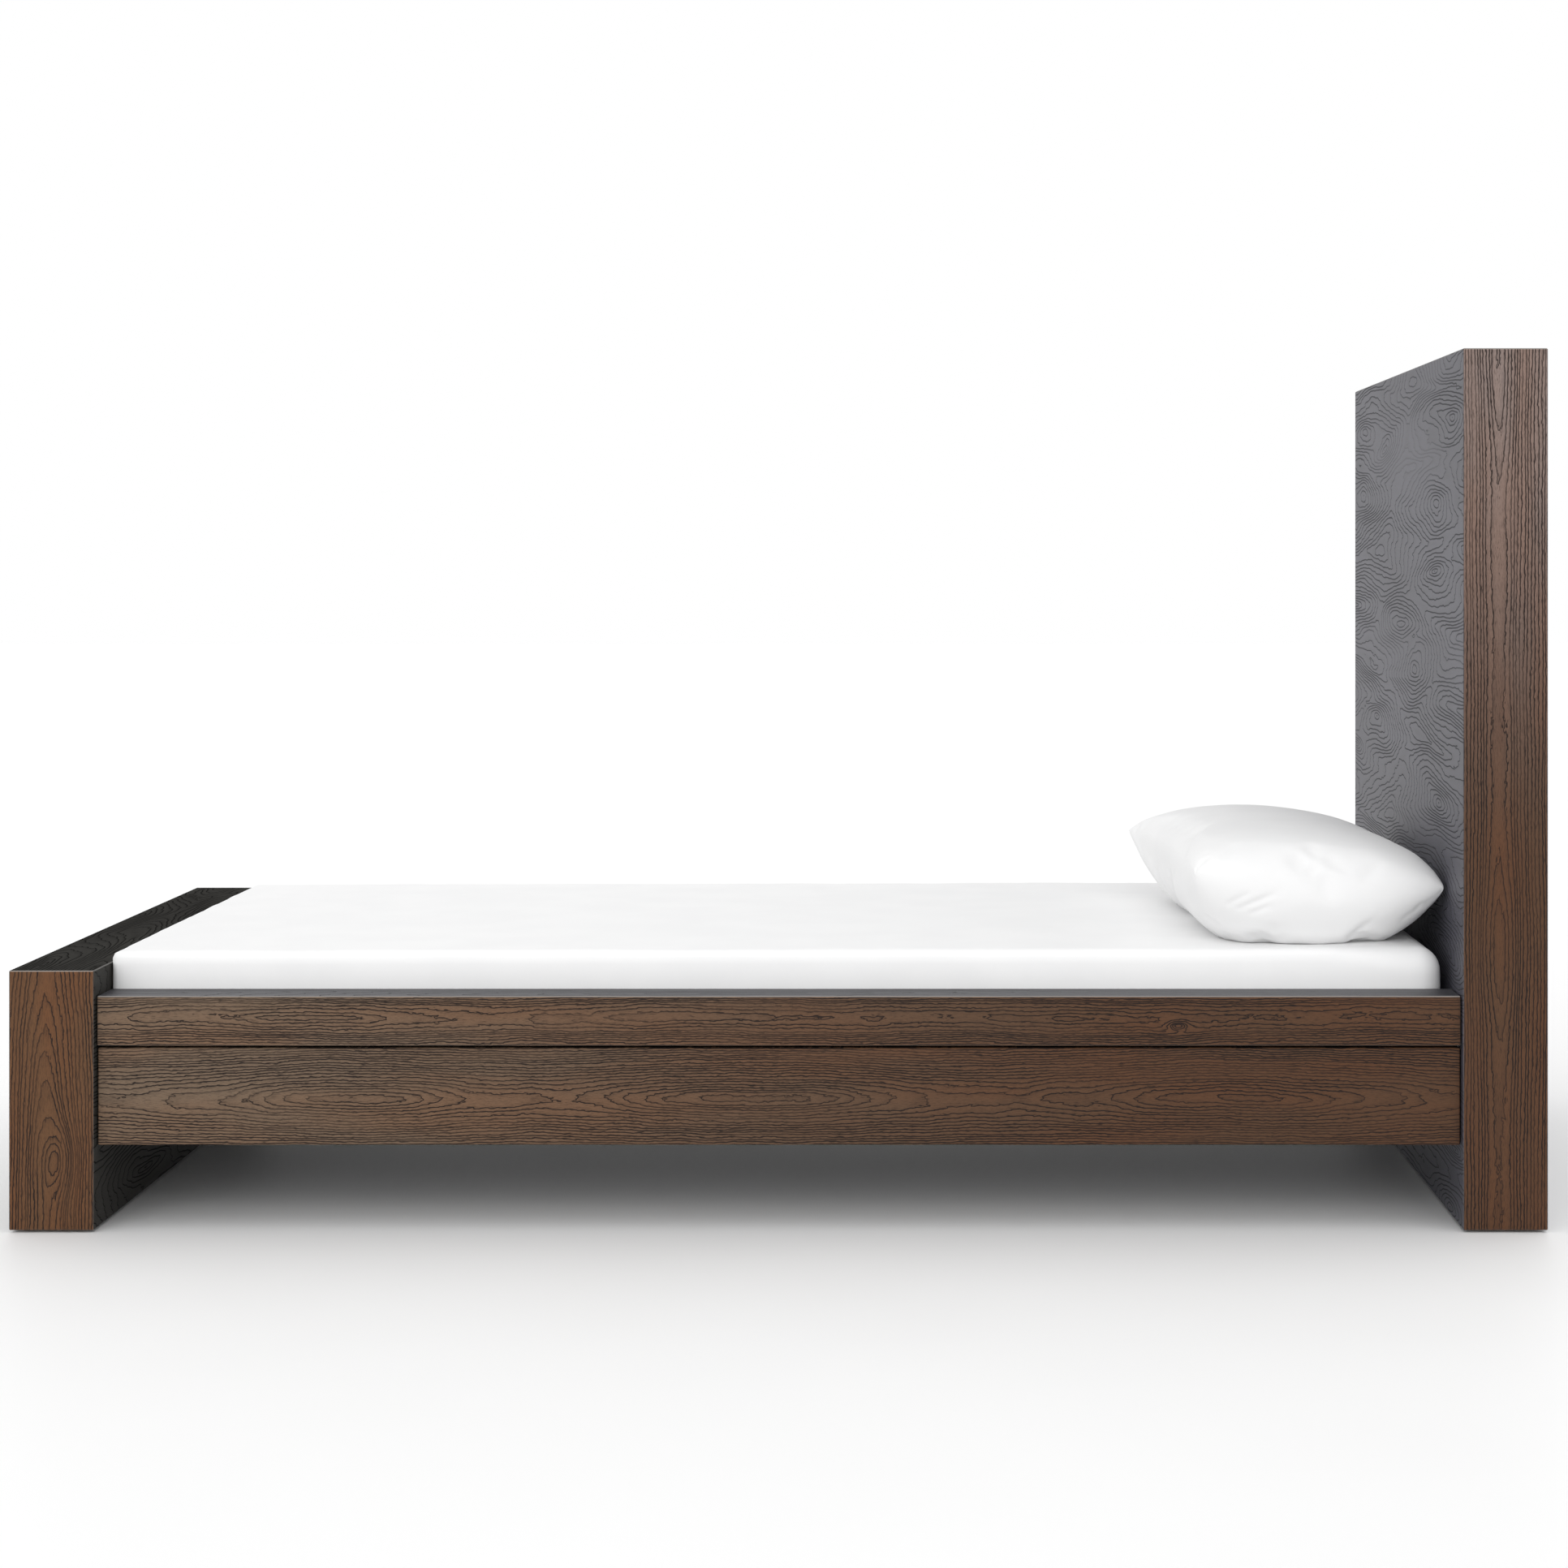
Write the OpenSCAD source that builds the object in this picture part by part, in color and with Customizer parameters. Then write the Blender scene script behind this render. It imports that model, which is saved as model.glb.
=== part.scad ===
// Platform bed: two thick veneered slabs joined by split side rails, with a slatted deck,
// a sheeted mattress and one pillow. Millimetres, +Z up.
// The origin is on the floor under the middle of the bed, and +X runs from foot to head.
// Left is +Y and right is -Y, as seen by a person who stands at the foot.

/* [Overall] */
// Length over both slabs
bed_length = 2270; // [2265:1:2300]
// Width of the slabs
bed_width = 1070; // [1068:1:1090]
// Height of the headboard
headboard_height = 1305; // [900:5:1500]
// Height of the footboard
footboard_height = 387; // [380:1:450]
// Thickness of each slab
slab_thickness = 125; // [124:1:126]

/* [Boards] */
// Thickness of the veneered boards that the slabs and rails are boxed from
board = 18; // [18:1:19]
// Width of the eased edges
ease = 1.5; // [0.5:0.5:2]

/* [Side rails] */
// Height of a rail's top above the floor
rail_top = 348; // [345:1:352]
// Height of the upper rail
upper_rail_height = 73.5; // [70:0.5:76]
// Width of the upper rail
upper_rail_width = 73; // [70:1:73]
// Height of the open space under the bed
clearance = 127; // [120:1:130]
// Setback of the rails from the slabs' ends
rail_inset = 10; // [9:1:12]
// Setback of the fascia from the upper rail
fascia_setback = 4; // [2:1:5]
// Gap between the upper rail and the fascia
shadow_gap = 4; // [2:0.5:6]
// Gap between a rail's end and the slab
reveal = 2; // [1:0.5:2.5]

/* [Slats] */
// Width of a slat
slat_width = 70; // [60:5:80]
// Thickness of a slat
slat_thickness = 18; // [16:1:20]
// Height of the slats' tops above the floor
slat_top = 210; // [208:1:212]

/* [Mattress] */
// Length of the mattress in its sheet
mattress_length = 2005; // [1980:5:2010]
// Width of the mattress in its sheet
mattress_width = 900; // [880:5:900]
// Thickness of the mattress in its sheet
mattress_thickness = 197; // [180:1:210]

/* [Pillow] */
// Short side of the filled pillow
pillow_width = 420; // [380:5:425]
// Long side of the filled pillow
pillow_length = 680; // [600:5:700]
// Loft of the filled pillow
pillow_loft = 187; // [140:1:200]

/* [Hidden] */
$fn = 32;
BROWN_OAK = [0.33, 0.22, 0.16];
CHARCOAL = [0.21, 0.21, 0.22];
PINE = [0.80, 0.66, 0.46];
DARK_PINE = [0.25, 0.24, 0.23];
ZINC = [0.70, 0.71, 0.74];
NYLON = [0.06, 0.06, 0.06];
COTTON = [0.93, 0.93, 0.93];
TICKING = [0.86, 0.84, 0.80];

over = 5;                                  // how far a cutting shape reaches past its work
steel = 3;                                 // thickness of the fastener plates

// Slabs
slab_z = 4;                                      // bottom edges above the floor
slab_x = (bed_length - slab_thickness) / 2;      // middle of a slab's thickness
inner_x = bed_length / 2 - slab_thickness;       // the face next to the mattress
bottom_board_z = 16;
stud_width = 38;

// Side rails, from the outside inward
rail_x = inner_x - reveal;                       // end of a rail
rail_y = bed_width / 2 - rail_inset;             // outer face of the upper rail
upper_rail_z = rail_top - upper_rail_height;
fascia_y = rail_y - fascia_setback;
fascia_thickness = 22;
backing_y = fascia_y - fascia_thickness;         // outer face of the backing rail
backing_z = 140;
backing_thickness = 28;
ledger_y = backing_y - backing_thickness;        // outer face of the slat ledger
ledger_size = [2 * rail_x - 40, 35, 30];

// Slats, evenly spaced from slab to slab
slat_count = 13;
slat_pitch = 2 * inner_x / slat_count;
slat_length = 2 * (ledger_y - 3);
slat_bottom = slat_top - slat_thickness;
slat_screw_y = ledger_y - ledger_size.y / 2;

// Levellers: a threaded stem in a nut under each end of each slab, standing in a pad
CORNERS = ["head_left", "head_right", "foot_left", "foot_right"];
leveler_y = bed_width / 2 - 95;
running_gap = 0.05;
stem_radius = 4;
stem_z = 3.2;
stem_length = 44;
nut_flange = [11, 1.5];                          // radius and thickness
nut_barrel = [5.5, 10];
pad_radius = 16;
pad_height = 9;
pad_edge = 5;                                    // height of its straight side
socket_z = 3;
hex_radius = 8;
hex_height = 4.8;
hex_gap = 0.2;

// Hook fasteners at the rail ends
plate_size = [steel, 24, upper_rail_z - backing_z - 4.5];
plate_y = backing_y - backing_thickness / 2;
plate_z = (upper_rail_z + backing_z) / 2;
plate_screw_z = plate_size.z / 2 - 7;
hook_thickness = 3;
hook_neck = 12;
hook_drop = 12;
hook_depth = 7;                                  // how far a hook reaches into the slab
hook_play = 0.2;
hook_places = [plate_z - 40, plate_z + 14];      // underside of each hook's neck
slot_width = 5;
slot_height = 26;

// Screws: shank radius, head radius, length
slat_screw = [2, 4, 40];
ledger_screw = [2, 4, 55];
hook_plate_screw = [1.8, 3.6, 30];
receiver_screw = [1.8, 3.6, 12];
screw_gap = 0.1;

// Mattress and pillow
mattress_gap = 1;                                // between the mattress and the footboard
mattress_ease = 18;
mattress_wall = 16;                              // padded wall round the spring unit
sheet_thickness = 1;
sheet_hem = 80;
pillow_place = [789, -102];
pillow_pinch = 0.06;                             // how far its sides pull in between corners
pillow_seam = 1;
pillow_steps = [10, 14];
pillow_rest = 0.9;                               // share of the lower half's depth left by its weight
case_thickness = 1.5;
case_gap = 0.3;
ticking_thickness = 5;
rest_gap = 0.5;

function slat_name(i) = str("slat_", i < 10 ? "0" : "", i);
function slat_x(i) = -inner_x + slat_pitch * (i - 0.5);

// ---- Helpers ----

module left_right() {
    children();
    mirror([0, 1, 0]) children();
}

module head_foot() {
    children();
    mirror([1, 0, 0]) children();
}

// Move a slab, drawn about its own middle with the mattress towards -X, to its place
module at_head() { translate([slab_x, 0, 0]) children(); }
module at_foot() { mirror([1, 0, 0]) at_head() children(); }

// Extrude a shape drawn in X and Z along Y, or one drawn in Y and Z along X
module along_y(length) {
    translate([0, length / 2, 0]) rotate([90, 0, 0]) linear_extrude(length) children();
}

module along_x(length) {
    translate([-length / 2, 0, 0]) rotate([90, 0, 90]) linear_extrude(length) children();
}

// Rectangle with its corners cut back by e
module eased_rect(size, e) {
    half = size / 2;
    polygon([
        [e - half.x, -half.y], [half.x - e, -half.y], [half.x, e - half.y], [half.x, half.y - e],
        [half.x - e, half.y], [e - half.x, half.y], [-half.x, half.y - e], [-half.x, e - half.y]
    ]);
}

// Box with every edge cut back by e, standing on Z = 0 with its middle over the origin
module eased_box(size, e) {
    intersection() {
        linear_extrude(size.z) eased_rect([size.x, size.y], e);
        along_y(size.y) translate([0, size.z / 2]) eased_rect([size.x, size.z], e);
        along_x(size.x) translate([0, size.z / 2]) eased_rect([size.y, size.z], e);
    }
}

// Countersunk screw with its head's face at the origin and its point towards -Z
module screw(s, grow = 0) {
    translate([0, 0, -s[2]]) cylinder(h = s[2], r = s[0] + grow);
    translate([0, 0, s[0] - s[1]]) cylinder(h = s[1] - s[0], r1 = s[0] + grow, r2 = s[1] + grow);
}

// The hole for that screw, open above its head
module screw_hole(s) {
    screw(s, screw_gap);
    cylinder(h = over, r = s[1] + screw_gap);
}

// ---- Slabs: boards mitred round a frame of studs ----

module slab_envelope(h) {
    translate([0, 0, slab_z]) eased_box([slab_thickness, bed_width, h - slab_z], ease);
}

// Section of a board of width w whose outer face is on the X axis, mitred at both edges
module mitred_section(w) {
    polygon([[-w / 2 - over, over], [w / 2 + over, over], [w / 2 - board, -board], [board - w / 2, -board]]);
}

// Section of an upright board at the edge of a slab of width w, mitred at its top
module upright_section(w, h) {
    inside = w / 2 - board;
    outside = w / 2 + over;
    polygon([[inside, -over], [outside, -over], [outside, h + over], [inside, h - board]]);
}

module slab_panel(h) {
    intersection() {
        slab_envelope(h);
        translate([slab_thickness / 2, 0, 0]) rotate([0, 0, -90])
            linear_extrude(h + over) mitred_section(bed_width);
        along_y(2 * bed_width) upright_section(slab_thickness, h);
    }
}

module outer_panel(h) { color(CHARCOAL) slab_panel(h); }

// The panel next to the mattress takes the rails' fasteners
module inner_panel(h) {
    color(CHARCOAL) difference() {
        mirror([1, 0, 0]) slab_panel(h);
        translate([-slab_x, 0, 0]) left_right() receiver_pocket();
    }
}

module left_end(h) {
    color(BROWN_OAK) intersection() {
        slab_envelope(h);
        translate([0, bed_width / 2, 0]) linear_extrude(h + over) mitred_section(slab_thickness);
        along_x(2 * slab_thickness) upright_section(bed_width, h);
    }
}

module right_end(h) { mirror([0, 1, 0]) left_end(h); }

module top_board(h) {
    color(CHARCOAL) intersection() {
        slab_envelope(h);
        translate([0, 0, h]) along_y(2 * bed_width) mitred_section(slab_thickness);
        translate([0, 0, h]) along_x(2 * slab_thickness) mitred_section(bed_width);
    }
}

module bottom_board() {
    size = [slab_thickness - 2 * board, bed_width - 2 * board, board];
    color(CHARCOAL) difference() {
        translate([-size.x / 2, -size.y / 2, bottom_board_z]) cube(size);
        left_right() translate([0, leveler_y, 0])
            cylinder(h = 2 * bottom_board_z + board, r = nut_barrel[0] + screw_gap);
    }
}

// Three studs, with cross rails between them from the side rails' height up to the top board
module core_frame(h, spaces) {
    depth = slab_thickness - 2 * board;
    low = bottom_board_z + board;
    high = h - board;
    edge = bed_width / 2 - board;
    first = plate_z - stud_width / 2;
    rise = (high - stud_width - first) / spaces;
    color(PINE) {
        for (y = [-edge, -stud_width / 2, edge - stud_width])
            translate([-depth / 2, y, low]) cube([depth, stud_width, high - low]);
        left_right() for (i = [0 : spaces])
            translate([-depth / 2, stud_width / 2, first + i * rise])
                cube([depth, edge - 1.5 * stud_width, stud_width]);
    }
}

// ---- Levellers, drawn at the head's left corner ----

module at_corner(name) {
    x = name[0] == "h" ? 0 : 1;
    y = name[5] == "l" ? 0 : 1;
    mirror([x, 0, 0]) mirror([0, y, 0]) translate([slab_x, leveler_y, 0]) children();
}

module leveler_nut() {
    translate([0, 0, bottom_board_z]) difference() {
        union() {
            translate([0, 0, -nut_flange[1]]) cylinder(h = nut_flange[1], r = nut_flange[0]);
            cylinder(h = nut_barrel[1], r = nut_barrel[0]);
        }
        translate([0, 0, -over]) cylinder(h = nut_barrel[1] + 2 * over, r = stem_radius + running_gap);
    }
}

module leveler_nuts() { color(ZINC) for (c = CORNERS) at_corner(c) leveler_nut(); }

module leveler_pad() {
    color(NYLON) difference() {
        union() {
            cylinder(h = pad_edge, r = pad_radius);
            translate([0, 0, pad_edge])
                cylinder(h = pad_height - pad_edge, r1 = pad_radius, r2 = pad_radius / 2);
        }
        translate([0, 0, socket_z]) cylinder(h = pad_height, r = stem_radius + running_gap);
    }
}

// The thread is drawn as a smooth shaft of its outer radius
module leveler_stem() {
    color(ZINC) {
        translate([0, 0, stem_z]) cylinder(h = stem_length - 1, r = stem_radius);
        translate([0, 0, stem_z + stem_length - 1]) cylinder(h = 1, r1 = stem_radius, r2 = stem_radius - 1);
        translate([0, 0, pad_height + hex_gap]) cylinder(h = hex_height, r = hex_radius, $fn = 6);
    }
}

// ---- Side rails, drawn on the left ----

module upper_rail() {
    intersection() {
        translate([0, rail_y - upper_rail_width / 2, upper_rail_z])
            eased_box([2 * rail_x, upper_rail_width, upper_rail_height], ease);
        along_x(2 * bed_length) children();
    }
}

module rail_face() {
    inside = rail_y - board;
    outside = rail_y + over;
    color(BROWN_OAK) upper_rail()
        polygon([[inside, 0], [outside, 0], [outside, rail_top + over], [inside, rail_top - board]]);
}

module rail_top_board() {
    bottom = rail_top - board;
    top = rail_top + over;
    color(CHARCOAL) upper_rail()
        polygon([[0, bottom], [rail_y - board, bottom], [rail_y + over, top], [0, top]]);
}

module rail_core() {
    color(CHARCOAL) upper_rail() square([rail_y - board, rail_top - board]);
}

module fascia() {
    color(BROWN_OAK) translate([0, fascia_y - fascia_thickness / 2, clearance])
        eased_box([2 * rail_x, fascia_thickness, upper_rail_z - shadow_gap - clearance], ease);
}

// Carries the upper rail, and shows as a dark line in the gap above the fascia
module backing_rail() {
    size = [2 * (rail_x - steel), backing_thickness, upper_rail_z - backing_z];
    color(CHARCOAL) difference() {
        translate([-size.x / 2, ledger_y, backing_z]) cube(size);
        head_foot() hook_plate_screw_places() screw_hole(hook_plate_screw);
        ledger_screw_places() screw_hole(ledger_screw);
    }
}

module slat_ledger() {
    color(DARK_PINE) difference() {
        translate([-ledger_size.x / 2, ledger_y - ledger_size.y, slat_bottom - ledger_size.z])
            cube(ledger_size);
        ledger_screw_places() screw_hole(ledger_screw);
        slat_screw_places() screw_hole(slat_screw);
    }
}

module ledger_screw_places() {
    for (i = [1 : 2 : slat_count - 1])
        translate([slat_x(i + 0.5), ledger_y - ledger_size.y, slat_bottom - ledger_size.z / 2])
            rotate([90, 0, 0]) children();
}

// ---- Hook fasteners, drawn at the left rail's head end ----

// Blank of a fastener plate whose footward face is at x
module plate_blank(x) {
    translate([x, plate_y - plate_size.y / 2, plate_z - plate_size.z / 2]) cube(plate_size);
}

module hook_plate() {
    behind = inner_x + steel + hook_play;
    tip = inner_x + hook_depth;
    difference() {
        plate_blank(rail_x - steel);
        hook_plate_screw_places() screw_hole(hook_plate_screw);
    }
    for (z = hook_places) translate([0, plate_y, 0]) along_y(hook_thickness) polygon([
        [rail_x, z], [behind, z], [behind, z - hook_drop], [tip, z - hook_drop + 3],
        [tip, z + hook_neck], [rail_x, z + hook_neck]
    ]);
}

module receiver_plate() {
    difference() {
        plate_blank(inner_x);
        for (z = hook_places) translate([inner_x - over, plate_y - slot_width / 2, z])
            cube([2 * over, slot_width, slot_height]);
        receiver_screw_places() screw_hole(receiver_screw);
    }
}

// Recess for the receiver plate, deeper behind each slot
module receiver_pocket() {
    for (x = [inner_x - steel, inner_x]) plate_blank(x);
    for (z = hook_places) translate([inner_x, plate_y - slot_width, z - hook_drop - 2])
        cube([hook_depth + 3, 2 * slot_width, slot_height + hook_drop + 2]);
    receiver_screw_places() screw_hole(receiver_screw);
}

module receiver_screw_places() {
    for (z = [-plate_screw_z, plate_screw_z])
        translate([inner_x, plate_y, plate_z + z]) rotate([0, -90, 0]) children();
}

module hook_plate_screw_places() {
    for (z = [-plate_screw_z, plate_screw_z])
        translate([rail_x, plate_y, plate_z + z]) rotate([0, 90, 0]) children();
}

module rail_hook_plates() { color(ZINC) head_foot() left_right() hook_plate(); }
module rail_receiver_plates() { color(ZINC) head_foot() left_right() receiver_plate(); }

// ---- Slats and screws ----

module slat_screw_places() {
    for (i = [1 : slat_count]) translate([slat_x(i), slat_screw_y, slat_top]) children();
}

module slat(i) {
    color(DARK_PINE) difference() {
        translate([slat_x(i), 0, slat_bottom]) eased_box([slat_width, slat_length, slat_thickness], 2);
        left_right() translate([slat_x(i), slat_screw_y, slat_top]) screw_hole(slat_screw);
    }
}

module slat_screws() { color(ZINC) left_right() slat_screw_places() screw(slat_screw); }
module ledger_screws() { color(ZINC) left_right() ledger_screw_places() screw(ledger_screw); }

module plate_screws() {
    color(ZINC) head_foot() left_right() {
        hook_plate_screw_places() screw(hook_plate_screw);
        receiver_screw_places() screw(receiver_screw);
    }
}

// ---- Mattress and pillow ----

// The made-up mattress, taken in by inset on every side
module mattress_form(inset) {
    size = [mattress_length, mattress_width, mattress_thickness] - 2 * inset * [1, 1, 1];
    translate([mattress_gap + mattress_length / 2 - inner_x, 0, slat_top + inset])
        eased_box(size, mattress_ease - inset * (2 - sqrt(2)));
}

// The padded wall round the spring unit, which is left as a hollow
module mattress() {
    color(TICKING) difference() {
        mattress_form(sheet_thickness);
        mattress_form(sheet_thickness + mattress_wall);
    }
}

// The sheet wraps the mattress and turns under it
module fitted_sheet() {
    opening = [mattress_length - 2 * sheet_hem, mattress_width - 2 * sheet_hem, over + sheet_thickness + 0.5];
    color(COTTON) difference() {
        mattress_form(0);
        mattress_form(sheet_thickness);
        translate([mattress_gap - inner_x + sheet_hem, -opening.y / 2, slat_top - over]) cube(opening);
    }
}

// Points of the pillow's upper (side = 1) or lower (side = -1) skin
function pillow_skin(size, side) = [
    for (i = [0 : pillow_steps.x]) for (j = [0 : pillow_steps.y])
        let (u = 2 * i / pillow_steps.x - 1, v = 2 * j / pillow_steps.y - 1)
        let (rise = pow((1 - u * u) * (1 - v * v), 0.42) * size.z / 2) [
            u * (1 - pillow_pinch * (1 - v * v)) * size.x / 2,
            v * (1 - pillow_pinch * (1 - u * u)) * size.y / 2,
            side * (pillow_seam + (side > 0 ? rise : min(rise, pillow_rest * size.z / 2)))
        ]
];

// A pillow with its seam level and its underside flattened, taken in by inset
module pillow_form(inset) {
    size = [pillow_width, pillow_length, pillow_loft - 2 * pillow_seam] - 2 * inset * [1, 1, 1];
    row = pillow_steps.y + 1;
    skin = row * (pillow_steps.x + 1);
    cells = [for (i = [0 : pillow_steps.x - 1]) for (j = [0 : pillow_steps.y - 1]) i * row + j];
    rim = concat(
        [for (j = [0 : pillow_steps.y - 1]) j],
        [for (i = [0 : pillow_steps.x - 1]) i * row + pillow_steps.y],
        [for (j = [pillow_steps.y : -1 : 1]) pillow_steps.x * row + j],
        [for (i = [pillow_steps.x : -1 : 1]) i * row]
    );
    faces = concat(
        [for (c = cells) each [[c, c + 1, c + row + 1], [c, c + row + 1, c + row]]],
        [for (c = cells) each [
            [skin + c, skin + c + row + 1, skin + c + 1], [skin + c, skin + c + row, skin + c + row + 1]
        ]],
        [for (k = [0 : len(rim) - 1]) let (a = rim[k], b = rim[(k + 1) % len(rim)])
            each [[a, skin + a, skin + b], [a, skin + b, b]]]
    );
    lower_half = pillow_seam + pillow_rest * (pillow_loft / 2 - pillow_seam);
    translate([pillow_place.x, pillow_place.y, slat_top + mattress_thickness + rest_gap + lower_half])
        polyhedron(concat(pillow_skin(size, 1), pillow_skin(size, -1)), faces);
}

module pillowcase() {
    color(COTTON) difference() {
        pillow_form(0);
        pillow_form(case_thickness);
    }
}

// The ticking, whose loose filling is left as a hollow
module pillow() {
    color(TICKING) difference() {
        pillow_form(case_thickness + case_gap);
        pillow_form(case_thickness + case_gap + ticking_thickness);
    }
}

// ---- The nodes ----

at_head() inner_panel(headboard_height);  // headboard_face_panel
at_head() outer_panel(headboard_height);  // headboard_back_panel
at_head() top_board(headboard_height);  // headboard_top_board
at_head() left_end(headboard_height);  // headboard_left_end
at_head() right_end(headboard_height);  // headboard_right_end
at_head() bottom_board();  // headboard_bottom_board
at_head() core_frame(headboard_height, 3);  // headboard_core_frame
at_foot() inner_panel(footboard_height);  // footboard_inner_panel
at_foot() outer_panel(footboard_height);  // footboard_outer_panel
at_foot() top_board(footboard_height);  // footboard_top_board
at_foot() left_end(footboard_height);  // footboard_left_end
at_foot() right_end(footboard_height);  // footboard_right_end
at_foot() bottom_board();  // footboard_bottom_board
at_foot() core_frame(footboard_height, 1);  // footboard_core_frame
leveler_nuts();
for (c = CORNERS) at_corner(c) leveler_pad();
for (c = CORNERS) at_corner(c) leveler_stem();
rail_face();  // left_rail_face
rail_top_board();  // left_rail_top
rail_core();  // left_rail_core
fascia();  // left_fascia
backing_rail();  // left_backing_rail
slat_ledger();  // left_slat_ledger
mirror([0, 1, 0]) rail_face();  // right_rail_face
mirror([0, 1, 0]) rail_top_board();  // right_rail_top
mirror([0, 1, 0]) rail_core();  // right_rail_core
mirror([0, 1, 0]) fascia();  // right_fascia
mirror([0, 1, 0]) backing_rail();  // right_backing_rail
mirror([0, 1, 0]) slat_ledger();  // right_slat_ledger
rail_hook_plates();
rail_receiver_plates();
for (i = [1 : slat_count]) slat(i);
slat_screws();
ledger_screws();
plate_screws();
mattress();
fitted_sheet();
pillow();
pillowcase();
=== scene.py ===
"""Looks of the platform bed: stained oak boards, charcoal veneer, a fitted sheet and a pillow."""
import math

import bmesh
import bpy
from mathutils import Euler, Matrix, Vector, noise


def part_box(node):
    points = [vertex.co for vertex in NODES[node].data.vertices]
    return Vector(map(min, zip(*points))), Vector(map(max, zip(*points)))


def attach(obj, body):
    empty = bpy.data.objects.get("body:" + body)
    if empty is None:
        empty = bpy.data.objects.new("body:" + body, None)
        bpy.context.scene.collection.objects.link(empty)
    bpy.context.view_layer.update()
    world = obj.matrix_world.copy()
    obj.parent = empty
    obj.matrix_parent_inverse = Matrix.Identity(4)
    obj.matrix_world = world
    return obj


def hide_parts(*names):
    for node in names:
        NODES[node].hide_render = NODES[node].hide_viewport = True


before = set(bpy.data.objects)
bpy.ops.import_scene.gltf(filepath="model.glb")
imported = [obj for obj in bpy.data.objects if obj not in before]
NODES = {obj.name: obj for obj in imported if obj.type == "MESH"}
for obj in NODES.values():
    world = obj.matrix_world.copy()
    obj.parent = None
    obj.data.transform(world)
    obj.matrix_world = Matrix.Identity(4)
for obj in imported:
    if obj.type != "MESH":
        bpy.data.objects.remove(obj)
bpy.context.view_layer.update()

X, Y, Z = range(3)

# ---- Short forms for shader nodes ----


class Graph:
    """A material's nodes, written as expressions. Numbers and sockets can be mixed freely."""

    def __init__(self, name):
        self.material = bpy.data.materials.new(name)
        self.material.use_nodes = True
        self.tree = self.material.node_tree
        self.shader = self.tree.nodes["Principled BSDF"]
        coords = self.tree.nodes.new("ShaderNodeTexCoord")
        self.point = coords.outputs["Object"]
        self.normal = coords.outputs["Normal"]

    def set(self, socket, value):
        if isinstance(value, bpy.types.NodeSocket):
            self.tree.links.new(value, socket)
        else:
            socket.default_value = value

    def math(self, operation, *values):
        node = self.tree.nodes.new("ShaderNodeMath")
        node.operation = operation
        for socket, value in zip(node.inputs, values):
            self.set(socket, value)
        return node.outputs[0]

    def add(self, a, b):
        return self.math("ADD", a, b)

    def times(self, a, b):
        return self.math("MULTIPLY", a, b)

    def split(self, vector):
        node = self.tree.nodes.new("ShaderNodeSeparateXYZ")
        self.set(node.inputs[0], vector)
        return node.outputs

    def vector(self, x, y, z):
        node = self.tree.nodes.new("ShaderNodeCombineXYZ")
        for socket, value in zip(node.inputs, (x, y, z)):
            self.set(socket, value)
        return node.outputs[0]

    def noise(self, vector, scale=1.0, detail=2.0, roughness=0.5):
        node = self.tree.nodes.new("ShaderNodeTexNoise")
        self.set(node.inputs["Vector"], vector)
        node.inputs["Scale"].default_value = scale
        node.inputs["Detail"].default_value = detail
        node.inputs["Roughness"].default_value = roughness
        return node.outputs[0]

    def span(self, value, low, high, to_low=0.0, to_high=1.0):
        """Value from low..high to to_low..to_high, eased and held at both ends."""
        node = self.tree.nodes.new("ShaderNodeMapRange")
        node.interpolation_type = "SMOOTHSTEP"
        for socket, number in zip(node.inputs, (value, low, high, to_low, to_high)):
            self.set(socket, number)
        return node.outputs[0]

    def mix(self, factor, a, b, blend="MIX"):
        node = self.tree.nodes.new("ShaderNodeMix")
        node.data_type = "RGBA"
        node.blend_type = blend
        self.set(node.inputs["Factor"], factor)
        for socket, colour in ((node.inputs[6], a), (node.inputs[7], b)):
            self.set(socket, (*colour, 1.0) if isinstance(colour, tuple) else colour)
        return node.outputs[2]

    def bump(self, height, distance, strength=1.0):
        node = self.tree.nodes.new("ShaderNodeBump")
        node.inputs["Strength"].default_value = strength
        node.inputs["Distance"].default_value = distance
        self.set(node.inputs["Height"], height)
        self.set(self.shader.inputs["Normal"], node.outputs[0])

    def cells(self, at, scale):
        """The distance to the nearest of many scattered points in a plane, in the units of at."""
        node = self.tree.nodes.new("ShaderNodeTexVoronoi")
        node.voronoi_dimensions = "2D"
        node.feature = "SMOOTH_F1"
        self.set(node.inputs["Vector"], at)
        node.inputs["Scale"].default_value = scale
        node.inputs["Smoothness"].default_value = 0.35
        return self.times(node.outputs["Distance"], 1.0 / scale)

    def finish(self, colour, roughness, **constants):
        self.set(self.shader.inputs["Base Color"], (*colour, 1.0) if isinstance(colour, tuple) else colour)
        self.set(self.shader.inputs["Roughness"], roughness)
        for name, value in constants.items():
            self.shader.inputs[name.replace("_", " ")].default_value = value
        return self.material


def eased_edges(g):
    """1 on the narrow eased edges along the top of a board, 0.12 on its other edges, and 0 elsewhere: where
    a painted highlight goes, strongest on the top edges, where light falls most.
    """
    parts = g.split(g.normal)
    sizes = [g.math("ABSOLUTE", part) for part in parts]
    edge = g.span(g.math("MAXIMUM", g.math("MAXIMUM", sizes[0], sizes[1]), sizes[2]), 0.80, 0.96, 1.0, 0.0)
    return g.times(edge, g.span(parts[Z], 0.3, 0.6, 0.12, 1.0))


# ---- Wood ----


def gaussian(g, value, centre, width):
    far = g.times(g.add(value, -centre), 1.0 / width)
    return g.math("EXPONENT", g.times(g.times(far, far), -1.0))


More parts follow.
